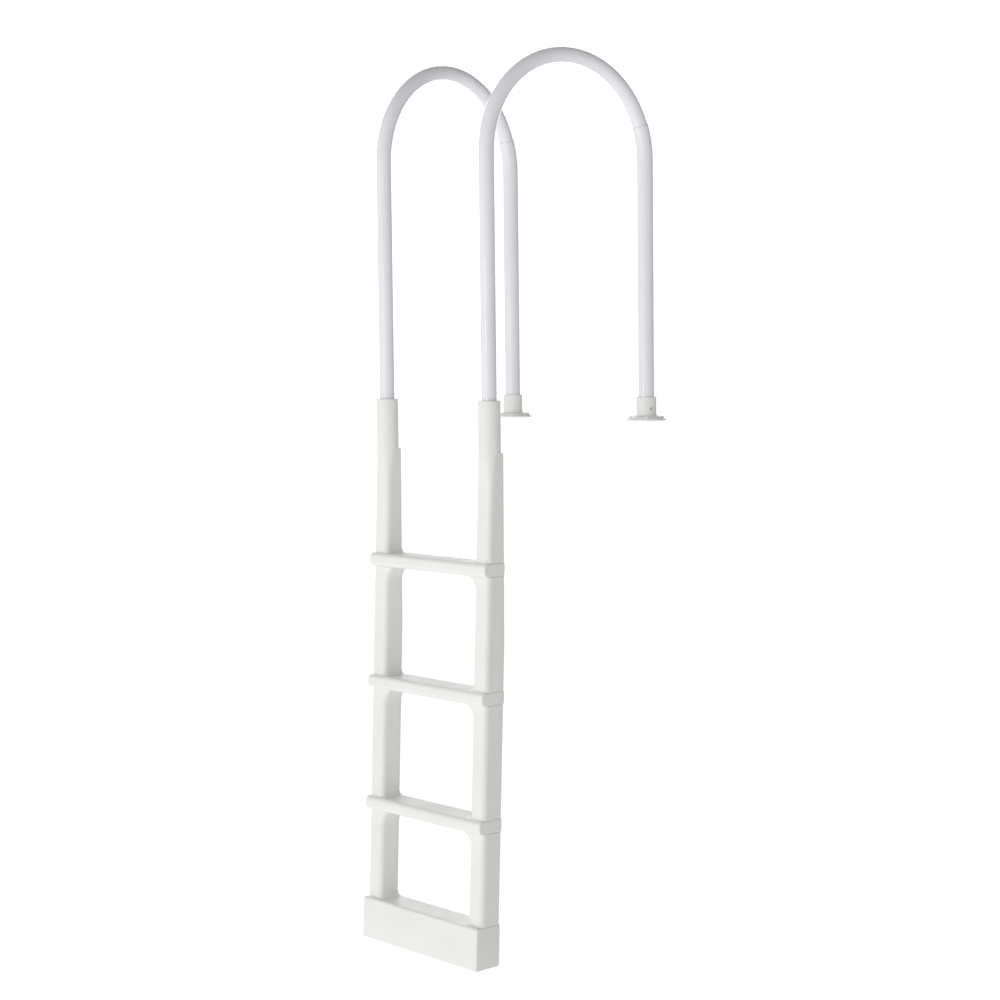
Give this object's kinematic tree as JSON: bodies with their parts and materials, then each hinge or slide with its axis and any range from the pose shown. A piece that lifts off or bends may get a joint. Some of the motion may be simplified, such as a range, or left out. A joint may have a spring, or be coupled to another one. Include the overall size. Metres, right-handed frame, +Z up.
{
  "type": "pool ladder",
  "caption": "In-pool ladder: bent tube handrails on round deck flanges slide into sockets of a hollow moulded ladder with wide treads and a ballast base step.",
  "frame": {"origin": "on the deck surface, midway between the centres of the two deck flanges", "axes": "+Z up; -Y out over the water, the side that the treads' noses face; +X to the right of a climber who faces the deck"},
  "size_m": [0.6, 0.6257, 2.2419],
  "materials": {
    "tube_paint": "glossy white powder coat on round steel tube",
    "moulded_white": "moulded polyethylene, satin off-white",
    "grey_plastic": "moulded grey plastic",
    "stainless": "plain stainless steel",
    "black_rubber": "matt black rubber"
  },
  "bodies": {
    "deck_mounts": {"left_deck_flange": "moulded_white", "right_deck_flange": "moulded_white", "left_flange_screw": "stainless", "right_flange_screw": "stainless"},
    "handrails": {"left_handrail": "tube_paint", "right_handrail": "tube_paint", "left_rear_leg": "tube_paint", "right_rear_leg": "tube_paint", "left_tube_plug": "grey_plastic", "right_tube_plug": "grey_plastic", "left_joint_screw": "stainless", "right_joint_screw": "stainless"},
    "ladder": {"left_upright": "moulded_white", "right_upright": "moulded_white", "left_height_screw": "stainless", "right_height_screw": "stainless", "tread_1": "moulded_white", "tread_2": "moulded_white", "tread_3": "moulded_white", "left_rail_1": "moulded_white", "right_rail_1": "moulded_white", "left_rail_2": "moulded_white", "right_rail_2": "moulded_white", "left_rail_3": "moulded_white", "right_rail_3": "moulded_white", "base_step": "moulded_white", "left_tread_1_upper_screw": "stainless", "left_tread_1_lower_screw": "stainless", "right_tread_1_upper_screw": "stainless", "right_tread_1_lower_screw": "stainless", "left_tread_2_upper_screw": "stainless", "left_tread_2_lower_screw": "stainless", "right_tread_2_upper_screw": "stainless", "right_tread_2_lower_screw": "stainless", "left_tread_3_upper_screw": "stainless", "left_tread_3_lower_screw": "stainless", "right_tread_3_upper_screw": "stainless", "right_tread_3_lower_screw": "stainless", "left_base_screw": "stainless", "right_base_screw": "stainless"},
    "fill_plug": {"fill_plug": "moulded_white", "fill_plug_gasket": "black_rubber"}
  },
  "joints": [
    {"name": "lift_out", "type": "slide", "parent": "deck_mounts", "child": "handrails", "axis": [0, 0, 1], "range_m": [0, 0.08]},
    {"name": "height_adjust", "type": "slide", "parent": "handrails", "child": "ladder", "axis": [0, 0, 1], "range_m": [-0.0508, 0.1016]},
    {"name": "unscrew_plug", "type": "slide", "parent": "ladder", "child": "fill_plug", "axis": [0, 0.9991, -0.042], "range_m": [0, 0.03]}
  ]
}
